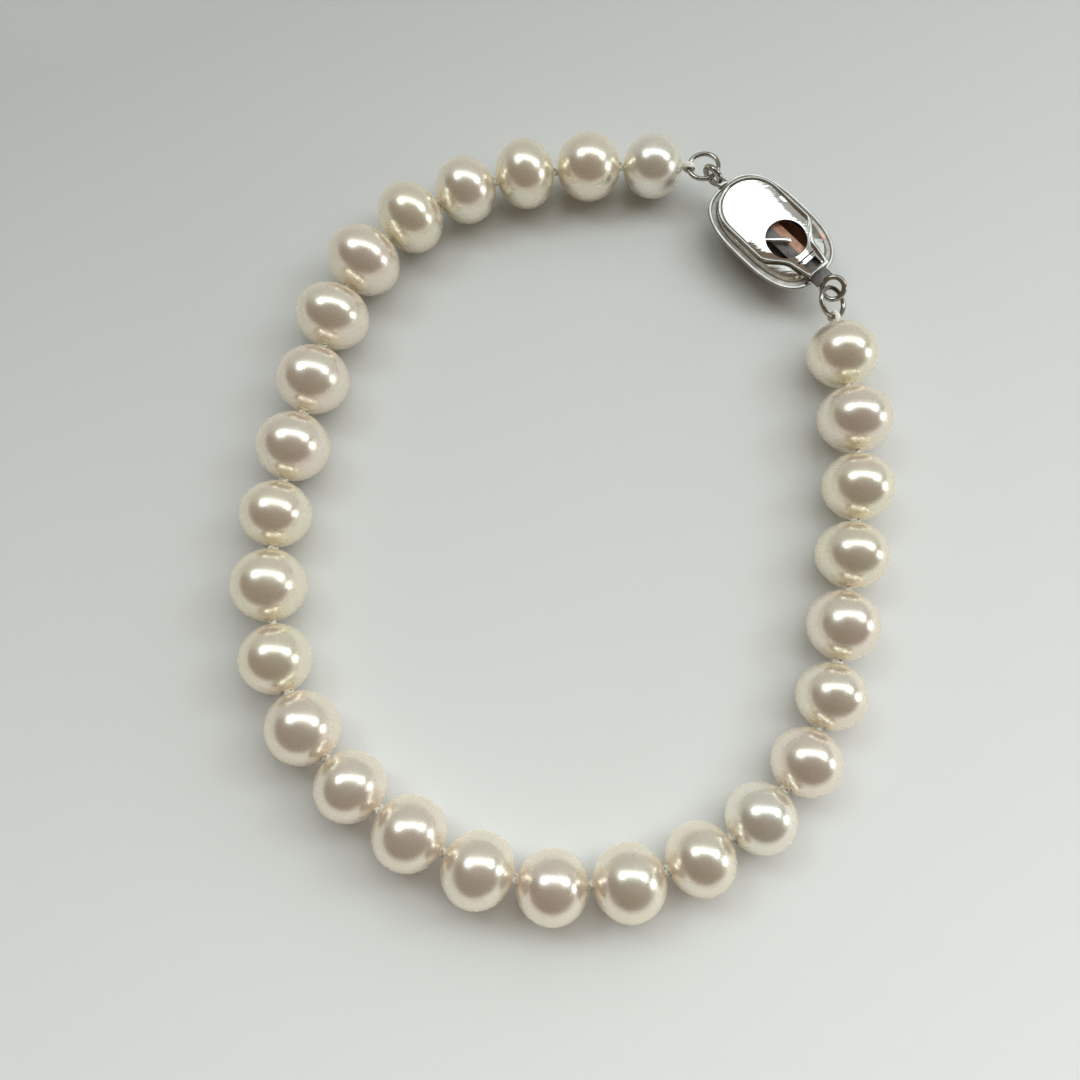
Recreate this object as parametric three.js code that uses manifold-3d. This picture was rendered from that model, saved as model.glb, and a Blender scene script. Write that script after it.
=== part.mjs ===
// A pearl bracelet lying on a flat surface: near-round freshwater pearls knotted on a thread, with a jump
// ring at each end of the string and a silver box clasp between them.
// Millimetres, +Z up. The surface is z = 0 and the origin is under the middle of the bracelet.

import * as THREE from 'three';
import { mergeVertices } from 'three/addons/utils/BufferGeometryUtils.js';
import Module from 'manifold-3d';

const wasm = await Module();
wasm.setup();

// Pearls
const pearl_diameter = 6.3;
const drill_clearance = 0.27;
const drill_mouth_flare = 0.35;
const drill_mouth_depth = 0.2;
const pearl_sides = 14;
const pearl_steps = 8;

// Thread
const thread_diameter = 0.35;
const knot_diameter = 0.8;
const knot_length = 0.55;
const knot_shoulder_diameter = 0.67;
const knot_shoulder_length = 0.31;
const pearl_spacing = 0.3;
const thread_sides = 6;

// Jump rings
const ring_diameter = 3.2;
const ring_wire = 0.45;
const upper_ring_swing = -5;
const upper_ring_bend = 50;
const upper_ring_roll = 0;
const lower_ring_swing = -49;
const lower_ring_bend = 10;
const lower_ring_roll = -31;
const link_clearance = 0.12;
const loop_seat = 0.08;
const ring_sides = 16;
const wire_sides = 6;

// Clasp body
const clasp_length = 12.6;
const clasp_width = 8.2;
const clasp_height = 4.2;
const clasp_turn = -47.4;
const case_wall = 0.5;
const oval_power = 2.8;
const rim_depth = 1.15;
const rim_thickness = 0.3;
const rim_step = 0.28;
const crown_depth = 0.35;
const crown_width = 4.74;
const plate_width = 6.5;
const plate_thickness = 0.42;
const plate_lip_width = 0.22;
const plate_lip_rise = 0.12;
const plate_end_margin = 0.5;
const neck_end_margin = 0.3;
const neck_width = 3.1;
const neck_end_width = 2.4;
const neck_length = 1.8;
const neck_wall = 0.35;
const shoulder_length = 2.9;
const hole_diameter = 3.9;
const hole_place = 1.75;
const pointer_length = 2.3;
const pointer_width = 0.32;
const pointer_head = 0.5;
const pointer_thickness = 0.3;
const pointer_turn = 47.4;
const window_length = 0.9;
const window_width = 1.5;
const window_margin = 0.4;
const body_loop_diameter = 2.4;
const body_loop_wire = 0.6;
const body_loop_reach = 1.35;
const lug_width = 1;
const lug_thickness = 0.48;
const oval_sides = 32;
const dome_steps = 6;
const outline_steps = 10;
const hole_sides = 20;

// Clasp tongue
const leaf_thickness = 0.3;
const leaf_clearance = 0.15;
const leaf_reach = 9.2;
const leaf_drop = 1;
const catch_gap = 0.4;
const tongue_loop_diameter = 2.5;
const tongue_loop_wire = 0.5;
const tongue_loop_angle = 33;
const loop_standoff = 0.4;

// The finest steps of the working
const weld_distance = 1e-4;
const route_divisions = 600;
const fit_passes = 40;

// One row per pearl, from the clasp's upper left end round to its lower right end. Across and along are the
// pearl's sizes across and along the thread, as shares of pearl_diameter.
const pearls = [
  { across: 0.93, along: 0.89 },
  { across: 0.99, along: 0.95 },
  { across: 1.02, along: 0.87 },
  { across: 0.98, along: 0.89 },
  { across: 1.06, along: 0.91 },
  { across: 1.10, along: 0.94 },
  { across: 1.06, along: 0.92 },
  { across: 1.02, along: 0.98 },
  { across: 1.02, along: 0.97 },
  { across: 0.99, along: 0.93 },
  { across: 1.03, along: 1.00 },
  { across: 0.98, along: 0.95 },
  { across: 1.00, along: 1.00 },
  { across: 0.97, along: 0.93 },
  { across: 1.01, along: 0.97 },
  { across: 1.02, along: 0.95 },
  { across: 0.98, along: 0.95 },
  { across: 1.02, along: 0.96 },
  { across: 0.98, along: 0.91 },
  { across: 0.96, along: 0.92 },
  { across: 0.95, along: 0.92 },
  { across: 0.95, along: 0.90 },
  { across: 0.98, along: 0.96 },
  { across: 1.00, along: 0.92 },
  { across: 1.00, along: 0.95 },
  { across: 1.05, along: 0.94 },
  { across: 1.00, along: 0.96 },
];

// Chosen points of the string's route, X to the right and Y away, and the middle of the clasp. The route
// grows or shrinks as one until the string just fills it.
const route = [
  [2.8, 36.0],
  [-9.3, 32.8],
  [-17.4, 24.9],
  [-20.7, 12.9],
  [-23.4, -0.2],
  [-21.3, -14.1],
  [-12.4, -23.6],
  [-0.3, -28.9],
  [13.1, -26.8],
  [22.6, -18.6],
  [26.2, -5.2],
  [28.2, 8.2],
];
const clasp_middle = [21.4, 29.4];

// Sizes that follow from the ones above
const ring_pitch = ring_diameter - ring_wire;
const thread_loop_diameter = ring_wire + 2 * link_clearance + thread_diameter;
const string_lead = thread_loop_diameter / 2 + thread_diameter / 2 - loop_seat;
const mouth_width = neck_end_width - 2 * neck_wall;
const leaf_width = mouth_width - 2 * leaf_clearance;
const plate_top = clasp_height - plate_lip_rise;
const plate_underside = plate_top - plate_thickness;
const rim_height = clasp_height - rim_depth;
const crown_height = clasp_height - crown_depth;
const joint_height = plate_underside - leaf_clearance - leaf_thickness / 2;
const body_loop_place = -clasp_length / 2 - body_loop_reach;
const tongue_loop_place = clasp_length / 2 + loop_standoff + tongue_loop_diameter / 2;

const up = new THREE.Vector3(0, 0, 1);
const along = (degrees) => new THREE.Vector3(1, 0, 0).applyAxisAngle(up, THREE.MathUtils.degToRad(degrees));

// Materials
const pearl_tints = [0xf4f1ea, 0xf1ebdd, 0xefe6dc];
const pearlMaterial = (index) => new THREE.MeshStandardMaterial({
  color: pearl_tints[index % pearl_tints.length],
  roughness: 0.25,
  metalness: 0,
});
const silver = () => new THREE.MeshStandardMaterial({ color: 0xdcdcd8, roughness: 0.12, metalness: 1 });
const cotton = () => new THREE.MeshStandardMaterial({ color: 0xf2efe8, roughness: 0.8, metalness: 0 });

// Joins and cuts
function toSolid(geometry) {
  const bare = geometry.index ? geometry.clone() : geometry;
  bare.deleteAttribute('normal');
  bare.deleteAttribute('uv');
  const merged = mergeVertices(bare, weld_distance);
  return new wasm.Manifold(new wasm.Mesh({
    numProp: 3,
    vertProperties: new Float32Array(merged.attributes.position.array),
    triVerts: new Uint32Array(merged.index.array),
  }));
}

function toGeometry(solid) {
  const mesh = solid.getMesh();
  const geometry = new THREE.BufferGeometry();
  geometry.setAttribute('position', new THREE.BufferAttribute(mesh.vertProperties, 3));
  geometry.setIndex(new THREE.BufferAttribute(mesh.triVerts, 1));
  geometry.computeVertexNormals();
  return geometry;
}

function join(geometries) {
  return geometries.map(toSolid).reduce((whole, piece) => whole.add(piece));
}

// A box given by its middle and its sizes along X, Y and Z
function block(middle, sizes) {
  return new THREE.BoxGeometry(...sizes).translate(...middle);
}

// A flat outline drawn up from one height to another
function slab(outline, bottom, top) {
  const sizes = { depth: top - bottom, bevelEnabled: false };
  return new THREE.ExtrudeGeometry(new THREE.Shape(outline), sizes).translate(0, 0, bottom);
}

// A pearl: a round that is shorter along the thread, with a drilled hole and a flared mouth at each end.
// The thread runs along local Y.
function pearlGeometry(across, along_thread) {
  const hole = thread_diameter / 2 + drill_clearance;
  const mouth = hole + drill_mouth_flare;
  const mouth_angle = Math.acos(mouth / (across / 2));
  const mouth_height = (along_thread / 2) * Math.sin(mouth_angle);
  const outline = [];
  for (let step = 0; step <= pearl_steps; step++) {
    const angle = THREE.MathUtils.lerp(-mouth_angle, mouth_angle, step / pearl_steps);
    outline.push(new THREE.Vector2(
      (across / 2) * Math.cos(angle),
      (along_thread / 2) * Math.sin(angle),
    ));
  }
  outline.push(new THREE.Vector2(hole, mouth_height - drill_mouth_depth));
  outline.push(new THREE.Vector2(hole, drill_mouth_depth - mouth_height));
  outline.push(outline[0].clone());
  return new THREE.LatheGeometry(outline, pearl_sides);
}

// A knot: a small bead of thread, its axis along local Y and its sides half a step round from the thread's
function knotGeometry() {
  const outline = [
    new THREE.Vector2(0, -knot_length / 2),
    new THREE.Vector2(knot_shoulder_diameter / 2, -knot_shoulder_length / 2),
    new THREE.Vector2(knot_diameter / 2, 0),
    new THREE.Vector2(knot_shoulder_diameter / 2, knot_shoulder_length / 2),
    new THREE.Vector2(0, knot_length / 2),
  ];
  return new THREE.LatheGeometry(outline, thread_sides).rotateY(Math.PI / thread_sides);
}

// Each pearl rests on the surface, so its middle is half its size across above it
const heights = pearls.map(({ across }) => (across * pearl_diameter) / 2);

// The turn that points local Y along a direction, with local Z as near to up as it can be
function aim(direction) {
  const sideways = new THREE.Vector3().crossVectors(direction, up).normalize();
  const upward = new THREE.Vector3().crossVectors(sideways, direction);
  return new THREE.Matrix4().makeBasis(sideways, direction, upward);
}

// A jump ring passes through the clasp's eye and the string's end. Swing is the way from the eye to the
// ring's middle, bend is how much the way on to the string's end turns from that, and roll tips the ring
// about the line between the two.
function ringLink(eye, end_height, swing, bend, roll) {
  const half_bend = THREE.MathUtils.degToRad(bend / 2);
  const chord = ring_pitch * Math.cos(half_bend);
  const drop = end_height - eye.z;
  const reach = Math.sqrt(chord * chord - drop * drop);
  const end = eye.clone().addScaledVector(along(swing + bend / 2), reach).setZ(end_height);
  const direction = end.clone().sub(eye).normalize();
  const turn = aim(direction).multiply(new THREE.Matrix4().makeRotationY(THREE.MathUtils.degToRad(roll)));
  const offset = new THREE.Vector3((ring_pitch / 2) * Math.sin(half_bend), 0, 0).applyMatrix4(turn);
  const middle = eye.clone().add(end).multiplyScalar(0.5).add(offset);
  return { end, turn, middle, half_bend };
}

// The two jump rings of a clasp whose middle is at a given place
function ringLinks(clasp_place) {
  const axis = along(clasp_turn);
  const upper_eye = clasp_place.clone().addScaledVector(axis, body_loop_place);
  const lower_eye = clasp_place.clone().addScaledVector(axis, tongue_loop_place);
  const upper_swing = clasp_turn + 180 + upper_ring_swing;
  const lower_swing = clasp_turn + lower_ring_swing;
  return {
    upper: ringLink(upper_eye, heights[0], upper_swing, upper_ring_bend, upper_ring_roll),
    lower: ringLink(lower_eye, heights.at(-1), lower_swing, lower_ring_bend, lower_ring_roll),
  };
}

// The route at a given share of its chosen size: one curve from end to end of the string
function layOut(share) {
  const place = ([x, y]) => new THREE.Vector3(x * share, y * share, joint_height);
  const middle = place(clasp_middle);
  const links = ringLinks(middle);
  const level = (point) => point.clone().setZ(joint_height);
  const ends = [level(links.upper.end), level(links.lower.end)];
  const curve = new THREE.CatmullRomCurve3([ends[0], ...route.map(place), ends[1]]);
  curve.arcLengthDivisions = route_divisions;
  return { middle, links, curve };
}

// The layout whose route is exactly as long as the string, found by halving an interval
function fitLayout(string_length) {
  let low = 0;
  let high = 1;
  while (layOut(high).curve.getLength() < string_length) {
    high *= 2;
  }
  for (let pass = 0; pass < fit_passes; pass++) {
    const share = (low + high) / 2;
    if (layOut(share).curve.getLength() < string_length) {
      low = share;
    } else {
      high = share;
    }
  }
  return layOut(low);
}

const string_length = pearls.reduce(
  (length, { along: share }) => length + share * pearl_diameter + pearl_spacing,
  2 * string_lead - pearl_spacing,
);
const layout = fitLayout(string_length);

// A place on the string: so far along the route, at a height of its own
function placeOnString(travelled, height) {
  return layout.curve.getPointAt(travelled / string_length).setZ(height);
}

// The string bends only at its knots, halfway between pearls and at the mean height of their middles. Its two
// ends lie on the end loops.
const knots = [placeOnString(thread_loop_diameter / 2, heights[0])];
let travelled = string_lead - pearl_spacing / 2;
for (let index = 1; index < pearls.length; index++) {
  travelled += pearls[index - 1].along * pearl_diameter + pearl_spacing;
  knots.push(placeOnString(travelled, (heights[index - 1] + heights[index]) / 2));
}
knots.push(placeOnString(string_length - thread_loop_diameter / 2, heights.at(-1)));

const bracelet = new THREE.Group();
const loop = new THREE.Group();
bracelet.add(loop);

function addMesh(parent, name, geometry, material) {
  const mesh = new THREE.Mesh(geometry, material);
  mesh.name = name;
  parent.add(mesh);
  return mesh;
}

// The pearls, each resting on the surface with its hole along the thread
pearls.forEach(({ across, along: along_share }, index) => {
  const geometry = pearlGeometry(across * pearl_diameter, along_share * pearl_diameter);
  const name = `pearl_${String(index + 1).padStart(2, '0')}`;
  const mesh = addMesh(loop, name, geometry, pearlMaterial(index));
  const direction = knots[index + 1].clone().sub(knots[index]).normalize();
  mesh.position.copy(knots[index]).add(knots[index + 1]).multiplyScalar(0.5);
  mesh.position.z = heights[index];
  mesh.quaternion.setFromRotationMatrix(aim(direction));
});

// The jump rings
function addRing(name, { turn, middle }) {
  const geometry = new THREE.TorusGeometry(ring_pitch / 2, ring_wire / 2, wire_sides, ring_sides);
  const mesh = addMesh(loop, name, geometry, silver());
  mesh.quaternion.setFromRotationMatrix(turn);
  mesh.position.copy(middle);
}

addRing('jump_ring_upper', layout.links.upper);
addRing('jump_ring_lower', layout.links.lower);

// A stretch of thread between two places
function stretchGeometry(from, to) {
  const span = to.clone().sub(from);
  const geometry = new THREE.CylinderGeometry(
    thread_diameter / 2,
    thread_diameter / 2,
    span.length(),
    thread_sides,
  );
  const middle = from.clone().add(to).multiplyScalar(0.5);
  return geometry.applyMatrix4(aim(span.normalize()).setPosition(middle));
}

// The loop of thread round a jump ring's wire, square to the wire
function threadLoopGeometry({ end, turn, half_bend }) {
  const radius = thread_loop_diameter / 2;
  const geometry = new THREE.TorusGeometry(radius, thread_diameter / 2, wire_sides, ring_sides);
  geometry.rotateY(Math.PI / 2).rotateZ(half_bend);
  return geometry.applyMatrix4(turn.clone().setPosition(end));
}

// The thread, with its knots and end loops
function threadGeometry() {
  const pieces = [threadLoopGeometry(layout.links.upper), threadLoopGeometry(layout.links.lower)];
  for (let index = 1; index < knots.length; index++) {
    pieces.push(stretchGeometry(knots[index - 1], knots[index]));
  }
  for (let index = 1; index < knots.length - 1; index++) {
    const turn = aim(knots[index + 1].clone().sub(knots[index - 1]).normalize());
    pieces.push(knotGeometry().applyMatrix4(turn.setPosition(knots[index])));
  }
  return toGeometry(join(pieces));
}

addMesh(loop, 'thread', threadGeometry(), cotton());

// The clasp's oval: a round of unit radius drawn out to the clasp's length and width, a little squarer than
// an ellipse
function ovalGeometry(profile, length, width) {
  const outline = profile.map(({ span, height }) => new THREE.Vector2(span, height));
  const geometry = new THREE.LatheGeometry(outline, oval_sides).rotateX(Math.PI / 2);
  const position = geometry.attributes.position;
  for (let index = 0; index < position.count; index++) {
    const x = position.getX(index);
    const y = position.getY(index);
    const span = Math.hypot(x, y);
    const angle = Math.atan2(y, x);
    const swell = span / Math.pow(
      Math.abs(Math.cos(angle)) ** oval_power + Math.abs(Math.sin(angle)) ** oval_power,
      1 / oval_power,
    );
    position.setXY(index, (length / 2) * swell * Math.cos(angle), (width / 2) * swell * Math.sin(angle));
  }
  return geometry;
}

// The case's side view: a domed front that faces down, the stepped rim and the crowned back
function caseProfile(inset) {
  const reach = 1 - rim_step / (clasp_width / 2);
  const rows = [];
  for (let step = 0; step <= dome_steps; step++) {
    const angle = (Math.PI / 2) * (step / dome_steps);
    rows.push({
      span: reach * Math.sin(angle),
      height: inset + (rim_height - inset) * (1 - Math.cos(angle)),
    });
  }
  if (inset === 0) {
    rows.push({ span: 1, height: rim_height });
    rows.push({ span: 1, height: rim_height + rim_thickness });
    rows.push({ span: reach, height: rim_height + rim_thickness });
  }
  rows.push({ span: crown_width / clasp_width, height: crown_height - inset });
  rows.push({ span: 0, height: crown_height - inset });
  return rows;
}

// The back plate's outline: round at one end, straight sides, then hollow shoulders down to the neck
function plateOutline(inset) {
  const half = plate_width / 2 - inset;
  const neck = neck_width / 2 - inset;
  const neck_end = neck_end_width / 2 - inset;
  const start = plate_width / 2 + plate_end_margin - clasp_length / 2;
  const end = clasp_length / 2 - neck_end_margin;
  const neck_start = end - neck_length;
  const points = [];
  for (let step = 0; step <= outline_steps; step++) {
    const angle = Math.PI / 2 + Math.PI * (step / outline_steps);
    points.push(new THREE.Vector2(start + half * Math.cos(angle), half * Math.sin(angle)));
  }
  const shoulder = (side) => {
    const rows = [];
    for (let step = 0; step <= outline_steps / 2; step++) {
      const share = step / (outline_steps / 2);
      const fall = (1 - Math.cos(Math.PI * share)) / 2;
      rows.push(new THREE.Vector2(
        neck_start - shoulder_length * (1 - share),
        side * THREE.MathUtils.lerp(half, neck, fall),
      ));
    }
    return rows;
  };
  points.push(...shoulder(-1));
  points.push(new THREE.Vector2(end - inset, -neck_end));
  points.push(new THREE.Vector2(end - inset, neck_end));
  points.push(...shoulder(1).reverse());
  return points;
}

// The pointer: a narrow finger with a wider head, cut from the plate and reaching to the middle of its hole
function pointerGeometry() {
  const shank = pointer_length - pointer_head;
  const tail = -hole_diameter / 2 - case_wall;
  const outline = [
    new THREE.Vector2(tail, -pointer_width / 2),
    new THREE.Vector2(shank - hole_diameter / 2, -pointer_width / 2),
    new THREE.Vector2(pointer_length - hole_diameter / 2, -pointer_width),
    new THREE.Vector2(pointer_length - hole_diameter / 2, pointer_width),
    new THREE.Vector2(shank - hole_diameter / 2, pointer_width / 2),
    new THREE.Vector2(tail, pointer_width / 2),
  ];
  const bottom = plate_top - (plate_thickness + pointer_thickness) / 2;
  const geometry = slab(outline, bottom, bottom + pointer_thickness);
  return geometry.rotateZ(THREE.MathUtils.degToRad(pointer_turn)).translate(hole_place, 0, 0);
}

// The loop at the far end of the box stands upright on a short lug
function bodyLoopGeometries() {
  const centre_line = (body_loop_diameter - body_loop_wire) / 2;
  const ring = new THREE.TorusGeometry(centre_line, body_loop_wire / 2, wire_sides, ring_sides);
  const lug_start = body_loop_place + centre_line;
  const lug_end = (case_wall - clasp_length) / 2;
  return [
    ring.rotateX(Math.PI / 2).translate(body_loop_place, 0, joint_height),
    block([(lug_start + lug_end) / 2, 0, joint_height], [lug_end - lug_start, lug_width, lug_thickness]),
  ];
}

// The clasp's body, its length along local X and its back up
function claspBodyGeometry() {
  const box_bottom = rim_height - case_wall;
  const mouth_bottom = joint_height - leaf_thickness / 2 - leaf_clearance;
  const mouth_height = plate_underside - mouth_bottom;
  const outer = join([
    ovalGeometry(caseProfile(0), clasp_length, clasp_width),
    slab(plateOutline(0), box_bottom, clasp_height),
  ]);
  const inner = join([
    ovalGeometry(caseProfile(case_wall), clasp_length - 2 * case_wall, clasp_width - 2 * case_wall),
    slab(plateOutline(case_wall), box_bottom, plate_underside),
    block(
      [clasp_length / 2, 0, mouth_bottom + mouth_height / 2],
      [2 * (neck_length + neck_end_margin), mouth_width, mouth_height],
    ),
    new THREE.CylinderGeometry(hole_diameter / 2, hole_diameter / 2, clasp_height, hole_sides)
      .rotateX(Math.PI / 2)
      .translate(hole_place, 0, rim_height + clasp_height / 2),
    block(
      [clasp_length / 2 - neck_end_margin - window_margin - window_length / 2, 0, clasp_height],
      [window_length, window_width, clasp_height - rim_height],
    ),
    slab(plateOutline(plate_lip_width), plate_top, clasp_height + plate_thickness),
  ]);
  const trim = join([...bodyLoopGeometries(), pointerGeometry()]);
  return toGeometry(outer.subtract(inner).add(trim));
}

// The tongue's side view is a leaf folded back under itself. Its upper half runs out through the mouth.
function claspTongueGeometry() {
  const mouth_end = clasp_length / 2;
  const fold = mouth_end - leaf_reach;
  const low = joint_height - leaf_thickness / 2;
  const high = joint_height + leaf_thickness / 2;
  const stem_end = tongue_loop_place - tongue_loop_diameter / 2 + tongue_loop_wire / 2;
  const catch_end = mouth_end - neck_length - catch_gap;
  const outline = [
    new THREE.Vector2(fold, high),
    new THREE.Vector2(fold, low - leaf_thickness / 2),
    new THREE.Vector2(catch_end, low - leaf_drop),
    new THREE.Vector2(catch_end, high - leaf_drop),
    new THREE.Vector2(fold + leaf_thickness, low),
    new THREE.Vector2(stem_end, low),
    new THREE.Vector2(stem_end, high),
  ];
  const leaf = slab(outline, -leaf_width / 2, leaf_width / 2).rotateX(Math.PI / 2);
  const ring = new THREE.TorusGeometry(
    (tongue_loop_diameter - tongue_loop_wire) / 2,
    tongue_loop_wire / 2,
    wire_sides,
    ring_sides,
  );
  ring.rotateX(THREE.MathUtils.degToRad(tongue_loop_angle)).translate(tongue_loop_place, 0, joint_height);
  return toGeometry(join([leaf, ring]));
}

// The clasp lies with its back up, between the two jump rings
const clasp = new THREE.Group();
clasp.position.set(layout.middle.x, layout.middle.y, 0);
clasp.rotation.z = THREE.MathUtils.degToRad(clasp_turn);
loop.add(clasp);
addMesh(clasp, 'clasp_body', claspBodyGeometry(), silver());
addMesh(clasp, 'clasp_tongue', claspTongueGeometry(), silver());

// The origin goes under the middle of the whole bracelet
bracelet.updateMatrixWorld(true);
const bounds = new THREE.Box3().setFromObject(bracelet, true);
const centre = bounds.getCenter(new THREE.Vector3());
loop.position.set(-centre.x, -centre.y, -bounds.min.z);

export default bracelet;
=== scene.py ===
# A pearl bracelet lying on a pale table, seen almost straight from above. The near-round pearls are knotted
# on a white thread, and jump rings join its ends to an oval silver box clasp that lies with its back up.
import math

import bmesh
import bpy
import numpy as np
from mathutils import Matrix, Vector


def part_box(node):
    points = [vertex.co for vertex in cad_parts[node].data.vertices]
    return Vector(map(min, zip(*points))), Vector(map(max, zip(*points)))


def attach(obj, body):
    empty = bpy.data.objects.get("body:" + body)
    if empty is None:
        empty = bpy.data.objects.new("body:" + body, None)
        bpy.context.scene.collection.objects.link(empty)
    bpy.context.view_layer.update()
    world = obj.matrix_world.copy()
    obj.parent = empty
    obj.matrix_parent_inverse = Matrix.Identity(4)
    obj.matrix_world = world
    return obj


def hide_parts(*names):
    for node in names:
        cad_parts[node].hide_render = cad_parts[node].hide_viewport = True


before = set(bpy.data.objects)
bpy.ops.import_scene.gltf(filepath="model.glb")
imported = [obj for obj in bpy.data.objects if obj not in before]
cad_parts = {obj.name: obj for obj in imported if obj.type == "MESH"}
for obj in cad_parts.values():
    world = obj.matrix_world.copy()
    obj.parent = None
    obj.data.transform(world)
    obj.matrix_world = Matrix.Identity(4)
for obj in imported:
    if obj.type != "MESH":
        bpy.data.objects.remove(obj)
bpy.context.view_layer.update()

mm = 0.001

# Two lengths or heights that differ by less than this count as the same
nearly = 0.0005 * mm

# Angles in degrees: up to the first two the shading runs smoothly over an edge, and past the third a corner
# is rounded
round_smoothing = 50
sheet_smoothing = 35
corner_angle = 40

# Camera
photo_width = 1080
focal_pixels = 1083
sensor_width = 36
view_tilt = 13
view_distance = 93.97 * mm
view_target = Vector((-2.38, -3.64, 3.10)) * mm

# Pearls
pearl_segments = 96
pearl_rings = 64
drill_diameter = 0.46 * mm
pearl_unevenness = 0.07 * mm
unevenness_width = 3.4 * mm
pearl_plumpness = 0.16 * mm

# Pearls by the tint of their nacre, counted from the clasp's upper end
rose_pearls = (6, 8, 9, 13, 14, 15, 17, 21, 23, 26)
cream_pearls = (2, 3, 5, 10, 11, 12, 24, 25, 27)
white_pearls = (1, 20)

# Places of the tints in the nacre's colour ramp
white_tint = 0.05
cream_tint = 0.36
ivory_tint = 0.66
rose_tint = 0.95

# Thread
thread_diameter = 0.35 * mm
strand_diameter = 0.26 * mm
knot_size = 0.37 * mm
knot_lobe = 2
knot_depth = 0.9
knot_turn = 1.1
knot_steps = 60
loop_clearance = 0.12 * mm
wrap_diameter = 0.22 * mm
wrap_angles = (-22, 0, 22)
wrap_steps = 32

# Jump rings
ring_diameter = 3.2 * mm
ring_wire = 0.45 * mm
ring_slit = 1.2
ring_sections = 90
wire_sides = 20

# Clasp, in its own frame: X towards the tongue's loop, Z up from the surface
clasp_angle = -47.4
clasp_length = 12.6 * mm
clasp_width = 8.2 * mm
clasp_height = 4.2 * mm
oval_power = 2.8
oval_points = 96
case_wall = 0.32 * mm
sheet_thickness = 0.12 * mm
rim_height = 3.05 * mm
rim_thickness = 0.3 * mm
rim_step = 0.28 * mm
rim_edge = 0.06 * mm
dome_rings = 12
crown_height = 3.85 * mm
plate_width = 6.5 * mm
plate_thickness = 0.42 * mm
plate_end_margin = 0.5 * mm
neck_end_margin = 0.3 * mm
neck_width = 3.1 * mm
neck_end_width = 2.4 * mm
neck_length = 1.8 * mm
neck_wall = 0.14 * mm
mouth_width = 1.9 * mm
shoulder_length = 2.9 * mm
lip_width = 0.3 * mm
lip_drop = 0.16 * mm
lip_round = 0.09 * mm
lip_slope = 0.05 * mm
field_depth = 0.24 * mm
field_crown = 0.14 * mm
field_crown_width = 1.05 * mm
field_grid = 0.35 * mm
outline_steps = 24
groove_depth = 0.16 * mm
groove_width = 0.34 * mm
edge_round = 0.04 * mm
facing_up = 0.8
rub_angle = 62
# Brown patch of painted reflection inside the box: where it starts across the clasp, where it ends along it,
# and how wide its edges blend
reflection_patch_side = 0.15 * mm
reflection_patch_end = 3.9 * mm
reflection_patch_blend = 0.12 * mm
hole_diameter = 3.9 * mm
hole_sides = 72
hole_place = 1.75 * mm
pointer_length = 2.1 * mm
pointer_width = 0.28 * mm
pointer_head = 1.9
pointer_flare = 0.1 * mm
pointer_head_length = 0.5 * mm
pointer_root = 0.3 * mm
pointer_thickness = 0.24 * mm
window_length = 0.9 * mm
window_width = 1.5 * mm
window_margin = 0.4 * mm
slot_width = 0.13 * mm
slot_length = 1.9 * mm
slot_place = 4.25 * mm
joint_height = 3.36 * mm
body_loop_diameter = 2.4 * mm
body_loop_wire = 0.6 * mm
body_loop_reach = 1.35 * mm
lug_width = 1.0 * mm
lug_thickness = 0.48 * mm
lug_round = 0.12 * mm
loop_sections = 64
loop_sides = 18
leaf_thickness = 0.3 * mm
leaf_width = 1.9 * mm
leaf_reach = 9.2 * mm
leaf_drop = 1.0 * mm
catch_gap = 0.4 * mm
tongue_loop_diameter = 2.5 * mm
tongue_loop_wire = 0.5 * mm
tongue_loop_angle = 33
loop_standoff = 0.4 * mm

# Table
table_radius = 600 * mm
table_sides = 128
table_drop = 0.02 * mm
# Painted pool of light on the table: the way it grows lighter, and how far it spreads each side
table_light_pool_angle = 69
table_light_pool_reach = 60 * mm

# Room: where it turns lighter towards the window, as shares of +Y, and where its bright skirting ends, as
# shares of +Z
window_side = (0.25, 0.55)
skirting_edge = (0.06, 0.26)

# Lights: how far they are, and each one's way from the bracelet, its size as shares of that distance, how
# bright it looks, the way that its length runs, its colour, and whether polished pieces mirror it
light_distance = 900 * mm
lights = (
    {
        "name": "window_bar", "way": (0.165, 0.435, 0.895), "length": 1.4, "width": 0.33, "radiance": 1.6,
        "along": (1.17, -0.12, -0.16), "colour": (0.84, 0.96, 1), "mirrored": True,
    },
    {
        "name": "lamp_left", "way": (-0.46, 0.36, 0.82), "length": 0.3, "width": 0.3, "radiance": 4.3,
        "along": (1, 0, 0), "colour": (0.82, 0.96, 1), "mirrored": True,
    },
    {
        "name": "lamp_right", "way": (0.72, 0.25, 0.65), "length": 0.27, "width": 0.27, "radiance": 4.4,
        "along": (1, 0, 0), "colour": (0.82, 0.96, 1), "mirrored": True,
    },
    {
        "name": "lamp_low", "way": (0.97, -0.06, 0.26), "length": 0.28, "width": 0.28, "radiance": 3.6,
        "along": (1, 0, 0), "colour": (0.9, 0.97, 1), "mirrored": True,
    },
    {
        "name": "soft_fill", "way": (0.42, 0.42, 0.80), "length": 1.3, "width": 1.3, "radiance": 1.27,
        "along": (1, 0, 0), "colour": (1, 0.99, 0.97), "mirrored": False,
    },
)


def add_camera():
    """The photograph's view: almost straight down, tipped a little towards +Y."""
    tilt = math.radians(view_tilt)
    forward = Vector((0, math.sin(tilt), -math.cos(tilt)))
    data = bpy.data.cameras.new("camera")
    data.sensor_width = sensor_width
    data.lens = focal_pixels * sensor_width / photo_width
    data.clip_start = 5 * mm
    data.clip_end = 10
    camera = bpy.data.objects.new("camera", data)
    camera.location = view_target - forward * view_distance
    camera.rotation_euler = (tilt, 0, 0)
    bpy.context.scene.collection.objects.link(camera)
    bpy.context.scene.camera = camera


add_camera()


# Helpers for modelling by hand


def clear_selection():
    bpy.ops.object.select_all(action="DESELECT")


def take(name):
    """Names the piece that was just added."""
    piece = bpy.context.object
    piece.name = name
    piece.data.name = name
    return piece


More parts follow.
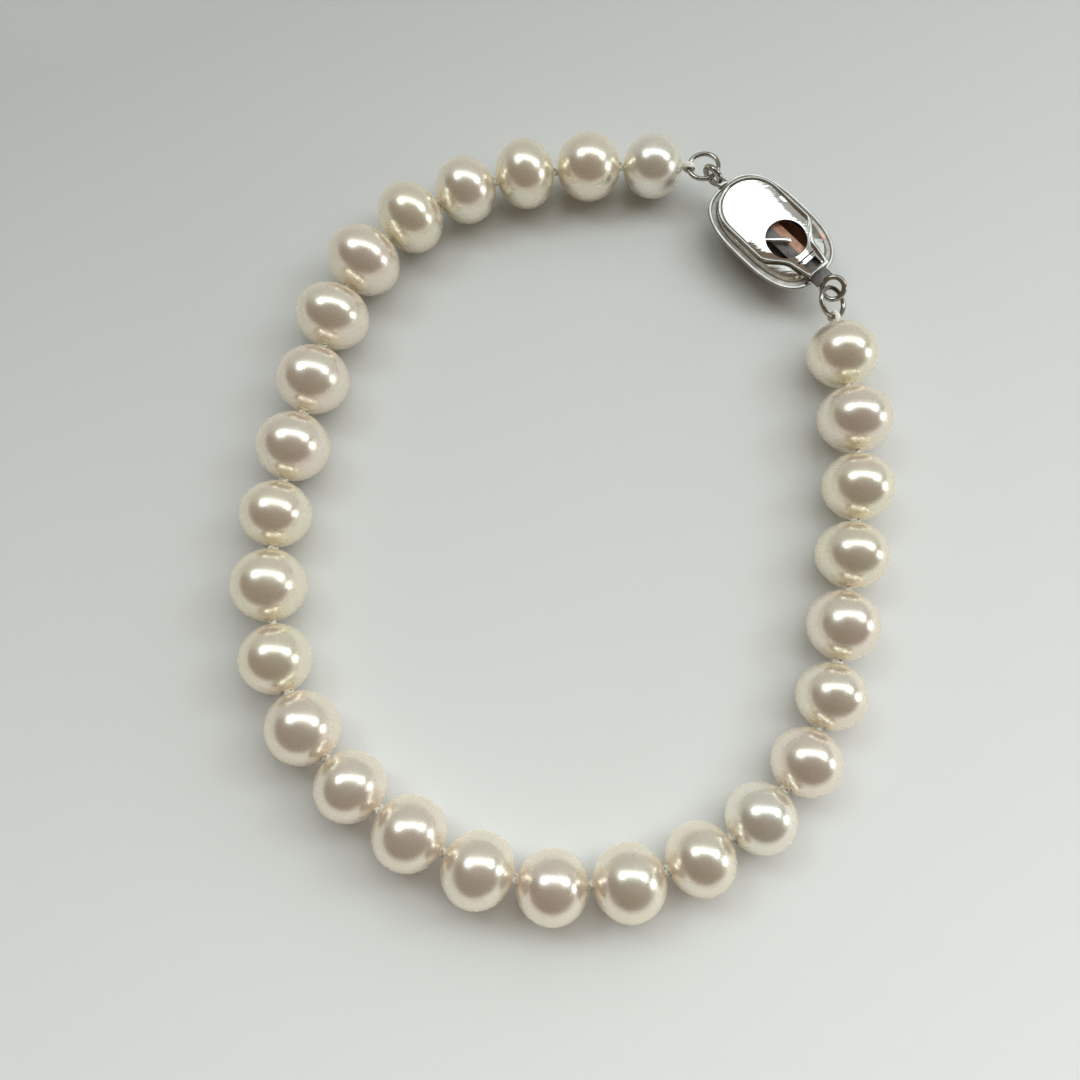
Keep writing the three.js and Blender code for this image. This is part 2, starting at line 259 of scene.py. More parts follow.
def edit(piece):
    """Opens a piece in edit mode with nothing selected."""
    clear_selection()
    piece.select_set(True)
    bpy.context.view_layer.objects.active = piece
    bpy.ops.object.mode_set(mode="EDIT")
    bpy.ops.mesh.select_all(action="DESELECT")


def leave_edit():
    bpy.ops.object.mode_set(mode="OBJECT")


def pick(piece, mode, test):
    """Selects the vertices, edges or faces of a piece in edit mode whose middle passes a test."""
    bpy.ops.mesh.select_mode(type=mode)
    bpy.ops.mesh.select_all(action="DESELECT")
    mesh = bmesh.from_edit_mesh(piece.data)
    parts = {"VERT": mesh.verts, "EDGE": mesh.edges, "FACE": mesh.faces}[mode]
    for part in parts:
        if mode == "VERT":
            middle = part.co
        elif mode == "EDGE":
            middle = (part.verts[0].co + part.verts[1].co) / 2
        else:
            middle = part.calc_center_median()
        if test(middle):
            part.select_set(True)
    bmesh.update_edit_mesh(piece.data)


def shape_by(piece, kind, **settings):
    """Adds a modifier and applies it."""
    clear_selection()
    piece.select_set(True)
    bpy.context.view_layer.objects.active = piece
    modifier = piece.modifiers.new(kind.lower(), kind)
    for name, value in settings.items():
        setattr(modifier, name, value)
    bpy.ops.object.modifier_apply(modifier=modifier.name)


def round_off(piece, width, segments):
    """Rounds a piece's sharper corners."""
    shape_by(
        piece,
        "BEVEL",
        width=width,
        segments=segments,
        limit_method="ANGLE",
        angle_limit=math.radians(corner_angle),
    )


def smooth(piece, degrees=sheet_smoothing):
    clear_selection()
    piece.select_set(True)
    bpy.context.view_layer.objects.active = piece
    bpy.ops.object.shade_smooth_by_angle(angle=math.radians(degrees))


def join(pieces, name):
    """Joins several pieces into the first."""
    clear_selection()
    for piece in pieces:
        piece.select_set(True)
    bpy.context.view_layer.objects.active = pieces[0]
    bpy.ops.object.join()
    return take(name)


def cut(piece, tool):
    """Cuts one piece out of another and throws the tool away."""
    shape_by(piece, "BOOLEAN", operation="DIFFERENCE", solver="EXACT", object=tool)
    bpy.data.objects.remove(tool)


def finish_piece(piece, material, slot, *nodes):
    if not piece.data.materials:
        piece.data.materials.append(material)
    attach(piece, "root")
    if nodes:
        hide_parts(*nodes)


def aim(direction):
    """The turn that points local Z along a direction, with local X level."""
    ahead = direction.normalized()
    level = Vector((0, 0, 1)).cross(ahead).normalized()
    return Matrix((level, ahead.cross(level), ahead)).transposed().to_4x4()


def node_points(name):
    """The vertices of a node of the frame as rows of an array."""
    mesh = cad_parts[name].data
    points = np.zeros(len(mesh.vertices) * 3)
    mesh.vertices.foreach_get("co", points)
    return points.reshape(-1, 3)


# Materials


def new_material(name):
    material = bpy.data.materials.new(name)
    material.use_nodes = True
    return material, material.node_tree, material.node_tree.nodes["Principled BSDF"]


def add_node(tree, kind, **values):
    """Adds a shader node and sets its properties and, by name, its inputs."""
    node = tree.nodes.new(kind)
    for name, value in values.items():
        key = name.replace("_", " ").title()
        if hasattr(node, name):
            setattr(node, name, value)
        else:
            node.inputs[key].default_value = value
    return node


def object_noise(tree, scale, detail):
    """Noise over the object's own coordinates, its scale in cells per metre."""
    place = add_node(tree, "ShaderNodeTexCoord")
    noise = add_node(tree, "ShaderNodeTexNoise", scale=scale, detail=detail)
    tree.links.new(place.outputs["Object"], noise.inputs["Vector"])
    return noise.outputs["Fac"]


def colour_ramp(tree, factor, stops):
    ramp = add_node(tree, "ShaderNodeValToRGB")
    for index, (place, colour) in enumerate(stops):
        if index < 2:
            stop = ramp.color_ramp.elements[index]
            stop.position = place
        else:
            stop = ramp.color_ramp.elements.new(place)
        stop.color = (*colour, 1)
    tree.links.new(factor, ramp.inputs["Fac"])
    return ramp.outputs["Color"]


def spread(tree, factor, low, high, start=0.3, end=0.7):
    """Spreads a value's range, from start to end, between two others."""
    node = add_node(tree, "ShaderNodeMapRange")
    node.inputs["From Min"].default_value = start
    node.inputs["From Max"].default_value = end
    node.inputs["To Min"].default_value = low
    node.inputs["To Max"].default_value = high
    tree.links.new(factor, node.inputs["Value"])
    return node.outputs["Result"]


def add_bump(tree, shader, height, distance):
    bump = add_node(tree, "ShaderNodeBump")
    bump.inputs["Strength"].default_value = 1
    bump.inputs["Distance"].default_value = distance
    tree.links.new(height, bump.inputs["Height"])
    tree.links.new(bump.outputs["Normal"], shader.inputs["Normal"])


def nacre_material():
    """Lustrous nacre: part mirror, part milky body, its tint carried by each pearl's own attribute."""
    material, tree, shader = new_material("nacre")
    tint = add_node(tree, "ShaderNodeAttribute", attribute_name="tint")
    body = colour_ramp(tree, tint.outputs["Fac"], (
        (0.0, (0.96, 0.93, 0.87)),
        (1.0, (0.97, 0.885, 0.80)),
        (0.33, (0.97, 0.905, 0.775)),
        (0.66, (0.97, 0.90, 0.80)),
    ))
    drift = colour_ramp(tree, object_noise(tree, 420, 2), (
        (0.35, (0.97, 1.0, 0.95)),
        (0.65, (1.0, 0.98, 0.97)),
    ))
    mix = add_node(tree, "ShaderNodeMix", data_type="RGBA", blend_type="MULTIPLY")
    mix.inputs["Factor"].default_value = 1
    tree.links.new(body, mix.inputs["A"])
    tree.links.new(drift, mix.inputs["B"])
    tree.links.new(mix.outputs["Result"], shader.inputs["Base Color"])
    tree.links.new(spread(tree, object_noise(tree, 700, 2), 0.24, 0.31), shader.inputs["Roughness"])
    add_bump(tree, shader, object_noise(tree, 420, 1), 0.01 * mm)
    shader.inputs["Metallic"].default_value = 0.79
    shader.inputs["Specular Tint"].default_value = (1, 0.9, 0.76, 1)
    shader.inputs["Sheen Weight"].default_value = 0.5
    shader.inputs["Sheen Roughness"].default_value = 0.4
    shader.inputs["Sheen Tint"].default_value = (1, 0.93, 0.82, 1)
    shader.inputs["Coat Weight"].default_value = 0.65
    shader.inputs["Coat Roughness"].default_value = 0.18
    shader.inputs["Coat IOR"].default_value = 1.55
    return material


def silver_material(name, dark, light, mark_depth):
    """Polished silver between two tones, with the fine marks of rubbing all one way."""
    material, tree, shader = new_material(name)
    tone = colour_ramp(tree, object_noise(tree, 700, 4), ((0.3, dark), (0.7, light)))
    tree.links.new(tone, shader.inputs["Base Color"])
    tree.links.new(spread(tree, object_noise(tree, 5000, 4), 0.04, 0.12), shader.inputs["Roughness"])
    place = add_node(tree, "ShaderNodeTexCoord")
    stretch = add_node(tree, "ShaderNodeMapping")
    stretch.inputs["Rotation"].default_value = (0, 0, math.radians(-rub_angle))
    stretch.inputs["Scale"].default_value = (0.2, 1, 1)
    marks = add_node(tree, "ShaderNodeTexNoise", scale=5000, detail=1)
    tree.links.new(place.outputs["Object"], stretch.inputs["Vector"])
    tree.links.new(stretch.outputs["Vector"], marks.inputs["Vector"])
    add_bump(tree, shader, marks.outputs["Fac"], mark_depth)
    shader.inputs["Metallic"].default_value = 1
    return material


def inner_silver_material(name, grey, brown):
    """The dull silver inside the box, grey but for a brown patch of painted reflection beside the opening's
    middle; its grey darkens the leaf and the case's groove as painted shade.
    """
    material, tree, shader = new_material(name)
    place = add_node(tree, "ShaderNodeTexCoord")
    clasp_frame = add_node(tree, "ShaderNodeMapping", vector_type="TEXTURE")
    clasp_frame.inputs["Location"].default_value = place_clasp.translation
    clasp_frame.inputs["Rotation"].default_value = (0, 0, math.radians(clasp_angle))
    parts = add_node(tree, "ShaderNodeSeparateXYZ")
    tree.links.new(place.outputs["Object"], clasp_frame.inputs["Vector"])
    tree.links.new(clasp_frame.outputs["Vector"], parts.inputs["Vector"])
    # Mask of the brown patch, a painted reflection
    aside = spread(tree, parts.outputs["Y"], 0, 1, reflection_patch_side - reflection_patch_blend, reflection_patch_side + reflection_patch_blend)
    inside = spread(tree, parts.outputs["Y"], 1, 0, plate_width / 2, plate_width / 2 + reflection_patch_blend)
    ahead = spread(tree, parts.outputs["X"], 1, 0, reflection_patch_end - reflection_patch_blend, reflection_patch_end + reflection_patch_blend)
    patch = aside
    for limit in (inside, ahead):
        both = add_node(tree, "ShaderNodeMath", operation="MULTIPLY")
        tree.links.new(patch, both.inputs[0])
        tree.links.new(limit, both.inputs[1])
        patch = both.outputs["Value"]
    mottle = object_noise(tree, 1500, 4)
    mottle_stops = (0.35, 0.65)
    mix = add_node(tree, "ShaderNodeMix", data_type="RGBA")
    tree.links.new(patch, mix.inputs["Factor"])
    tree.links.new(colour_ramp(tree, mottle, tuple(zip(mottle_stops, grey))), mix.inputs["A"])
    tree.links.new(colour_ramp(tree, mottle, tuple(zip(mottle_stops, brown))), mix.inputs["B"])
    tree.links.new(mix.outputs["Result"], shader.inputs["Base Color"])
    tree.links.new(spread(tree, object_noise(tree, 4000, 4), 0.3, 0.45), shader.inputs["Roughness"])
    shader.inputs["Metallic"].default_value = 0.35
    return material


def thread_material():
    """White beading thread, its strands twisted round one another."""
    material, tree, shader = new_material("beading_thread")
    tone = colour_ramp(tree, object_noise(tree, 2500, 3), (
        (0.35, (0.80, 0.76, 0.66)),
        (0.65, (0.92, 0.90, 0.83)),
    ))
    tree.links.new(tone, shader.inputs["Base Color"])
    add_bump(tree, shader, object_noise(tree, 9000, 3), 0.03 * mm)
    shader.inputs["Roughness"].default_value = 0.6
    shader.inputs["Sheen Weight"].default_value = 0.3
    shader.inputs["Subsurface Weight"].default_value = 0.2
    shader.inputs["Subsurface Scale"].default_value = 0.2 * mm
    return material


def table_material():
    """A pale table top with a painted pool of light, lighter towards the near right."""
    material, tree, shader = new_material("pale_table")
    place = add_node(tree, "ShaderNodeTexCoord")
    turned = add_node(tree, "ShaderNodeMapping", vector_type="POINT")
    turned.inputs["Rotation"].default_value = (0, 0, math.radians(table_light_pool_angle))
    parts = add_node(tree, "ShaderNodeSeparateXYZ")
    tree.links.new(place.outputs["Object"], turned.inputs["Vector"])
    tree.links.new(turned.outputs["Vector"], parts.inputs["Vector"])
    # Painted pool of light: darker at the far left, lighter at the near right
    along = spread(tree, parts.outputs["X"], 0, 1, -table_light_pool_reach, table_light_pool_reach)
    tone = colour_ramp(tree, along, (
        (0.0, (0.50, 0.512, 0.502)),
        (1.0, (0.90, 0.92, 0.91)),
    ))
    tree.links.new(tone, shader.inputs["Base Color"])
    shader.inputs["Roughness"].default_value = 0.75
    shader.inputs["Specular IOR Level"].default_value = 0.25
    return material


nacre = nacre_material()
# Bright silver for the plate's field and the pointer, and a darker copy of it as painted shade on the case,
# lip, neck, rings and loops
plate_silver = silver_material("plate_silver", (0.84, 0.83, 0.81), (0.95, 0.95, 0.94), 0.0055 * mm)
painted_shade_silver = silver_material("painted_shade_silver", (0.34, 0.325, 0.29), (0.54, 0.525, 0.49), 0.003 * mm)
beading_thread = thread_material()


# Pearls


def pearl_name(number):
    return f"pearl_{number:02d}"


pearl_count = sum(name.startswith("pearl_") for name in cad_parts)
pearl_boxes = [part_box(pearl_name(number)) for number in range(1, pearl_count + 1)]
pearl_middles = [(low + high) / 2 for low, high in pearl_boxes]
pearl_across = [high.z - low.z for low, high in pearl_boxes]


def string_direction(index):
    """The way of the thread through a pearl, from its neighbours' middles."""
    before = pearl_middles[max(index - 1, 0)]
    after = pearl_middles[min(index + 1, pearl_count - 1)]
    return (after - before).normalized()


def length_along(index):
    """A pearl's length along the thread: its node is cut off at the drill's mouth, so a little is added."""
    points = node_points(pearl_name(index + 1)) - np.array(pearl_middles[index])
    return 2 * float((points @ np.array(string_direction(index))).max()) + pearl_plumpness


pearl_along = [length_along(index) for index in range(pearl_count)]

growth = bpy.data.textures.new("growth", "CLOUDS")
growth.noise_basis = "IMPROVED_PERLIN"
growth.noise_scale = unevenness_width
growth.noise_depth = 1


def tint_of(number):
    """A pearl's place in the nacre's row of tints: white, cream, ivory, rose."""
    if number in white_pearls:
        return white_tint
    if number in cream_pearls:
        return cream_tint
    if number in rose_pearls:
        return rose_tint
    return ivory_tint


def make_pearl(index):
    """A round, drilled right through along the thread and grown a little uneven."""
    clear_selection()
    bpy.ops.mesh.primitive_uv_sphere_add(segments=pearl_segments, ring_count=pearl_rings, radius=0.5)
    pearl = take(pearl_name(index + 1) + "_nacre")
    across = pearl_across[index]
    size = Matrix.Diagonal((across, across, pearl_along[index], 1))
    pearl.data.transform(size)
    edit(pearl)
    pick(pearl, "FACE", lambda middle: middle.xy.length < drill_diameter / 2)
    bpy.ops.mesh.delete(type="FACE")
    bpy.ops.mesh.select_mode(type="EDGE")
    bpy.ops.mesh.select_non_manifold()
    bpy.ops.mesh.bridge_edge_loops()
    leave_edit()
    pearl.data.transform(Matrix.Translation(pearl_middles[index]) @ aim(string_direction(index)))
    shape_by(
        pearl,
        "DISPLACE",
        texture=growth,
        texture_coords="LOCAL",
        strength=pearl_unevenness,
        mid_level=0.5,
    )
    tint = pearl.data.attributes.new("tint", "FLOAT", "POINT")
    tint.data.foreach_set("value", [tint_of(index + 1)] * len(pearl.data.vertices))
    smooth(pearl, round_smoothing)
    finish_piece(pearl, nacre, "pearl", pearl_name(index + 1))


for pearl_index in range(pearl_count):
    make_pearl(pearl_index)


# Jump rings


def ring_place(name):
    """The middle of a jump ring and the turn that points local Z along its axis."""
    points = node_points(name)
    middle = points.mean(axis=0)
    axis = np.linalg.eigh(np.cov((points - middle).T))[1][:, 0]
    return Vector(middle), aim(Vector(axis))


def make_ring(name):
    """A round wire bent to a ring, with a fine slit where its ends meet."""
    clear_selection()
    centre_line = (ring_diameter - ring_wire) / 2
    bpy.ops.mesh.primitive_circle_add(
        vertices=wire_sides,
        radius=ring_wire / 2,
        fill_type="NGON",
        location=(centre_line, 0, 0),
        rotation=(math.radians(90), 0, 0),
    )
    bpy.ops.object.transform_apply()
    ring = take(name + "_wire")
    edit(ring)
    bpy.ops.mesh.select_all(action="SELECT")
    bpy.ops.mesh.spin(
        steps=ring_sections,
        angle=math.radians(360 - ring_slit),
        center=(0, 0, 0),
        axis=(0, 0, 1),
    )
    bpy.ops.mesh.select_all(action="SELECT")
    bpy.ops.mesh.normals_make_consistent(inside=False)
    leave_edit()
    middle, turn = ring_place(name)
    ring.data.transform(Matrix.Translation(middle) @ turn)
    smooth(ring, round_smoothing)
    # The ring takes the darker silver, painted shade
    finish_piece(ring, painted_shade_silver, "silver", name)
    return middle, turn


upper_ring = make_ring("jump_ring_upper")
lower_ring = make_ring("jump_ring_lower")


# Thread, with its knots and end loops


def string_end(ring, pearl_middle):
    """The place on a ring's wire that the thread loops round: the nearest to its end pearl."""
    middle, turn = ring
    axis = turn.to_3x3() @ Vector((0, 0, 1))
    way = pearl_middle - middle
    way -= way.dot(axis) * axis
    return middle + way.normalized() * (ring_diameter - ring_wire) / 2


def knot_places():
    """The places between pearls, shared by their lengths."""
    places = []
    for index in range(pearl_count - 1):
        share = pearl_along[index] / (pearl_along[index] + pearl_along[index + 1])
        places.append(pearl_middles[index].lerp(pearl_middles[index + 1], share))
    return places


def tube(name, points, diameter, closed=False):
    """A round tube through points, from a curve."""
    clear_selection()
    bpy.ops.curve.primitive_nurbs_path_add()
    path = take(name)
    path.data.splines.clear()
    spline = path.data.splines.new("POLY")
    spline.points.add(len(points) - 1)
    for target, point in zip(spline.points, points):
        target.co = (*point, 1)
    spline.use_cyclic_u = closed
    path.data.bevel_depth = diameter / 2
    path.data.bevel_resolution = 3
    path.data.use_fill_caps = not closed
    bpy.ops.object.convert(target="MESH")
    return take(name)


def overhand_knot():
    """The centre line of a knot in the thread: a trefoil, squashed along the thread."""
    turns = [2 * math.pi * step / knot_steps for step in range(knot_steps)]
    return [
        Vector((
            math.sin(turn) + knot_lobe * math.sin(2 * turn),
            math.cos(turn) - knot_lobe * math.cos(2 * turn),
            -knot_depth * math.sin(3 * turn),
        )) * knot_size / (1 + knot_lobe)
        for turn in turns
    ]


def make_thread():
    ends = [string_end(upper_ring, pearl_middles[0]), string_end(lower_ring, pearl_middles[-1])]
    places = knot_places()
    loop_radius = ring_wire / 2 + loop_clearance + thread_diameter / 2
    starts = [
        ends[0] + (pearl_middles[0] - ends[0]).normalized() * loop_radius,
        ends[1] + (pearl_middles[-1] - ends[1]).normalized() * loop_radius,
    ]
    pieces = [tube("string", [starts[0], *places, starts[1]], thread_diameter)]
    for ring, end, start in ((upper_ring, ends[0], starts[0]), (lower_ring, ends[1], starts[1])):
        along = (start - end).normalized()
        across = ring[1].to_3x3() @ Vector((0, 0, 1))
        loop = [
            end + loop_radius * (math.cos(turn) * along + math.sin(turn) * across)
            for turn in (2 * math.pi * step / wrap_steps for step in range(wrap_steps))
        ]
        for angle in wrap_angles:
            wrap = tube("wrap", loop, wrap_diameter, closed=True)
            fan = Matrix.Rotation(math.radians(angle), 4, along)
            wrap.data.transform(Matrix.Translation(start) @ fan @ Matrix.Translation(-start))
            pieces.append(wrap)
    finish_piece(join(pieces, "thread_string"), beading_thread, "thread", "thread")
    knots = []
    for index, place in enumerate(places):
        knot = tube("knot", overhand_knot(), strand_diameter, closed=True)
        way = pearl_middles[index + 1] - pearl_middles[index]
        roll = Matrix.Rotation(index * knot_turn, 4, "Z")
        knot.data.transform(Matrix.Translation(place) @ aim(way) @ roll)
        knots.append(knot)
    finish_piece(join(knots, "thread_knots"), beading_thread, "thread")


make_thread()


# Clasp


def clasp_place():
    """The clasp's place, from the ends and sides of its node."""
    turn = Matrix.Rotation(math.radians(clasp_angle), 4, "Z")
    ahead = np.array(turn.to_3x3() @ Vector((1, 0, 0)))
    aside = np.array(turn.to_3x3() @ Vector((0, 1, 0)))
    points = node_points("clasp_body")
    x = (points @ ahead).max() - clasp_length / 2
    sides = points @ aside
    y = (sides.max() + sides.min()) / 2
    middle = Vector(ahead * x + aside * y)
    return Matrix.Translation(middle) @ turn


def oval(length, width, count):
    """A rounded oval, a little squarer than an ellipse."""
    points = []
    for step in range(count):
        angle = 2 * math.pi * step / count
        ahead = math.cos(angle)
        aside = math.sin(angle)
        swell = (abs(ahead) ** oval_power + abs(aside) ** oval_power) ** (-1 / oval_power)
        points.append((length / 2 * swell * ahead, width / 2 * swell * aside))
    return points


def plate_outline():
    """The back plate: round at one end, straight sides, then hollow shoulders down to the neck."""
    half = plate_width / 2
    start = half + plate_end_margin - clasp_length / 2
    end = clasp_length / 2 - neck_end_margin
    neck_start = end - neck_length
    points = []
    for step in range(outline_steps + 1):
        angle = math.pi / 2 + math.pi * step / outline_steps
        points.append((start + half * math.cos(angle), half * math.sin(angle)))
    shoulder = []
    for step in range(outline_steps // 2 + 1):
        share = step / (outline_steps // 2)
        fall = (1 - math.cos(math.pi * share)) / 2
        shoulder.append((neck_start - shoulder_length * (1 - share), half + (neck_width / 2 - half) * fall))
    points += [(x, -y) for x, y in shoulder]
    points += [(end, -neck_end_width / 2), (end, neck_end_width / 2)]
    points += shoulder[::-1]
    return points


def flat_outline(name, outline, height, fill):
    """A circle primitive whose points are moved on to an outline."""
    clear_selection()
    bpy.ops.mesh.primitive_circle_add(vertices=len(outline), radius=1, fill_type=fill)
    piece = take(name)
    for vertex, (x, y) in zip(piece.data.vertices, outline):
        vertex.co = (x, y, height)
    return piece


def slot_tool(place, length, width):
    """A block that cuts down through the plate and the roof of the mouth."""
    clear_selection()
    depth = clasp_height - rim_height - neck_wall
    bpy.ops.mesh.primitive_cube_add(
        size=1,
        location=(place, 0, clasp_height),
        scale=(length, width, 2 * depth),
    )
    return take("slot_tool")


def window_tool():
    place = clasp_length / 2 - neck_end_margin - window_margin - window_length / 2
    return slot_tool(place, window_length, window_width)


def make_case():
    """The box: a domed front that faces down, a stepped rim and a crowned shoulder under the back plate."""
    reach_x = clasp_length / 2 - rim_step
    reach_y = clasp_width / 2 - rim_step
    rim_top = rim_height + rim_thickness
    floor = rim_top - groove_depth
    rows = []
    for step in range(1, dome_rings + 1):
        angle = math.pi / 2 * step / dome_rings
        out = math.sin(angle)
        rows.append((reach_x * out, reach_y * out, rim_height * (1 - math.cos(angle))))
    profile = [
        (rim_step - rim_edge, rim_height),
        (rim_step, rim_height + rim_edge),
        (rim_step, rim_top - rim_edge),
        (rim_step - rim_edge, rim_top),
        (rim_edge, rim_top),
        (0, rim_top - rim_edge),
        (-rim_edge / 2, floor),
        (-groove_width, floor),
        (-groove_width - rim_edge, rim_top),
        (-2 * groove_width, crown_height - 2 * rim_edge),
        (-4 * groove_width, crown_height - rim_edge / 2),
    ]
    rows += [(reach_x + out, reach_y + out, height) for out, height in profile]
    opening = hole_diameter / 2 + 2 * rim_edge
    rows.append((hole_place + opening, opening, crown_height))
    first = rows[0]
    outline = oval(2 * first[0], 2 * first[1], oval_points)
    case = flat_outline("clasp_case", outline, first[2], "NOTHING")
    edit(case)
    bpy.ops.mesh.select_mode(type="EDGE")
    bpy.ops.mesh.select_all(action="SELECT")
    for before, row in zip(rows, rows[1:]):
        rise = row[2] - before[2]
        bpy.ops.mesh.extrude_edges_move(TRANSFORM_OT_translate={"value": (0, 0, rise)})
        bpy.ops.transform.resize(
            value=(row[0] / before[0], row[1] / before[1], 1),
            center_override=(0, 0, row[2]),
        )
    pick(case, "EDGE", lambda spot: abs(spot.z - first[2]) < nearly)
    bpy.ops.mesh.extrude_edges_move(TRANSFORM_OT_translate={"value": (0, 0, -first[2])})
    bpy.ops.mesh.merge(type="CENTER")
    bpy.ops.mesh.select_all(action="SELECT")
    bpy.ops.mesh.normals_make_consistent(inside=False)
    pick(case, "FACE", lambda spot: spot.z > rim_top and spot.x > 0 and abs(spot.y) < mouth_width / 2)
    bpy.ops.mesh.delete(type="FACE")
    leave_edit()
    # The case takes the darker silver, painted shade
    case.data.materials.append(painted_shade_silver)
    case.data.materials.append(box_silver)
    # Faces in the groove take box_silver, its dull grey a painted shade in the groove
    for face in case.data.polygons:
        in_groove = floor - rim_edge < face.center.z < floor + rim_edge / 2
        if in_groove and face.center.xy.length > plate_width / 2:
            face.material_index = 1
    shape_by(case, "SOLIDIFY", thickness=sheet_thickness, offset=-1, use_even_offset=True, material_offset=1)
    return case


def crown_field(plate, outline):
    """Cuts the plate's sunk field into a grid and raises it to a low crown."""
    level = clasp_height - field_depth
    for axis, half in ((0, clasp_length / 2), (1, plate_width / 2)):
        count = math.ceil(half / field_grid)
        for step in range(-count, count + 1):
            spot = Vector((0, 0, level))
            spot[axis] = step * field_grid
            normal = Vector((0, 0, 0))
            normal[axis] = 1
            pick(plate, "FACE", lambda middle: abs(middle.z - level) < nearly)
            bpy.ops.mesh.bisect(plane_co=spot, plane_no=normal)
    leave_edit()
    ends = np.array(outline)
    sides = np.roll(ends, -1, axis=0) - ends
    for vertex in plate.data.vertices:
        if abs(vertex.co.z - level) < nearly:
            way = np.array(vertex.co.xy) - ends
            share = np.clip((way * sides).sum(axis=1) / (sides ** 2).sum(axis=1), 0, 1)
            gap = np.linalg.norm(way - share[:, None] * sides, axis=1).min() - lip_width - lip_slope
            fall = max(0, 1 - gap / field_crown_width)
            along = min(1, max(0, 0.5 + (vertex.co.x + plate_width / 2) / plate_width))
            vertex.co.z += field_crown * (1 - (fall * along) ** 2)
    for face in plate.data.polygons:
        in_field = level - edge_round < face.center.z < level + field_crown + edge_round
        if in_field and face.normal.z > facing_up:
            face.material_index = 1


def make_plate():
    """The back plate with its round lip, crowned field, round opening, cross slot and small window."""
    outline = plate_outline()
    bottom = clasp_height - plate_thickness - lip_drop
    plate = flat_outline("clasp_plate", outline, bottom, "NGON")
    # The lip and sides take the darker silver as painted shade; the field that faces up takes the bright
    # silver
    plate.data.materials.append(painted_shade_silver)
    plate.data.materials.append(plate_silver)
    edit(plate)
    bpy.ops.mesh.select_mode(type="FACE")
    bpy.ops.mesh.select_all(action="SELECT")
    bpy.ops.mesh.extrude_region_move(TRANSFORM_OT_translate={"value": (0, 0, clasp_height - bottom)})
    bpy.ops.mesh.inset(thickness=lip_width, depth=0)
    bpy.ops.mesh.inset(thickness=lip_slope, depth=-field_depth)
    bpy.ops.mesh.select_all(action="SELECT")
    bpy.ops.mesh.normals_make_consistent(inside=False)
    leave_edit()
    round_off(plate, lip_round, 3)
    edit(plate)
    crown_field(plate, outline)
    clear_selection()
    bpy.ops.mesh.primitive_cylinder_add(
        vertices=hole_sides,
        radius=hole_diameter / 2,
        depth=clasp_height,
        location=(hole_place, 0, clasp_height),
    )
    cut(plate, take("hole_tool"))
    cut(plate, window_tool())
    cut(plate, slot_tool(slot_place, slot_width, slot_length))
    return plate


def make_neck():
    """The sleeve under the neck that the tongue slides in through."""
    clear_selection()
    end = clasp_length / 2 - neck_end_margin
    start = hole_place + hole_diameter / 2 + neck_wall / 2
    depth = clasp_height - plate_thickness - rim_height
    bpy.ops.mesh.primitive_cube_add(
        size=1,
        location=((start + end) / 2, 0, rim_height + depth / 2),
        scale=(end - start, neck_end_width, depth),
    )
    bpy.ops.object.transform_apply()
    neck = take("clasp_neck")
    edit(neck)
    pick(neck, "FACE", lambda middle: abs(middle.x - end) < nearly or abs(middle.x - start) < nearly)
    bpy.ops.mesh.inset(thickness=neck_wall, depth=0)
    bpy.ops.mesh.bridge_edge_loops()
    leave_edit()
    cut(neck, window_tool())
    cut(neck, slot_tool(slot_place, slot_width, slot_length))
    round_off(neck, edge_round, 2)
    return neck


def make_pointer():
    """The narrow finger with a wider head that reaches over the round opening."""
    clear_selection()
    bpy.ops.mesh.primitive_cube_add(
        size=1,
        location=(pointer_length / 2, 0, 0),
        scale=(pointer_length, pointer_width, pointer_thickness),
    )
    bpy.ops.object.transform_apply()
    pointer = take("clasp_pointer")
    edit(pointer)
    pick(pointer, "FACE", lambda middle: middle.x > pointer_length - nearly)
    bpy.ops.mesh.extrude_region_move(TRANSFORM_OT_translate={"value": (pointer_flare, 0, 0)})
    bpy.ops.transform.resize(value=(1, pointer_head, 1), center_override=(pointer_length, 0, 0))
    bpy.ops.mesh.extrude_region_move(TRANSFORM_OT_translate={"value": (pointer_head_length, 0, 0)})
    leave_edit()
    shape_by(pointer, "BEVEL", width=edge_round, segments=2, limit_method="ANGLE")
    turn = Matrix.Rotation(math.radians(-clasp_angle), 4, "Z")
    start = turn @ Vector((-hole_diameter / 2 - pointer_root, 0, 0))
    height = clasp_height - field_depth - pointer_thickness / 2 + field_crown / 2
    pointer.data.transform(Matrix.Translation(start + Vector((hole_place, 0, height))) @ turn)
    return pointer


def make_body_loop():
    """The upright loop on its lug at the far end of the box."""
    centre_line = (body_loop_diameter - body_loop_wire) / 2
    place = -clasp_length / 2 - body_loop_reach
    clear_selection()
    bpy.ops.mesh.primitive_torus_add(
        major_segments=loop_sections,
        minor_segments=loop_sides,
        major_radius=centre_line,
        minor_radius=body_loop_wire / 2,
        location=(place, 0, joint_height),
        rotation=(math.radians(90), 0, 0),
    )
    bpy.ops.object.transform_apply()
    ring = take("body_ring")
    start = place + centre_line
    end = (case_wall - clasp_length) / 2
    clear_selection()
    bpy.ops.mesh.primitive_cube_add(
        size=1,
        location=((start + end) / 2, 0, joint_height),
        scale=(end - start, lug_width, lug_thickness),
    )
    bpy.ops.object.transform_apply()
    lug = take("body_lug")
    shape_by(lug, "BEVEL", width=lug_round, segments=3, limit_method="ANGLE")
    return join([ring, lug], "clasp_loop")


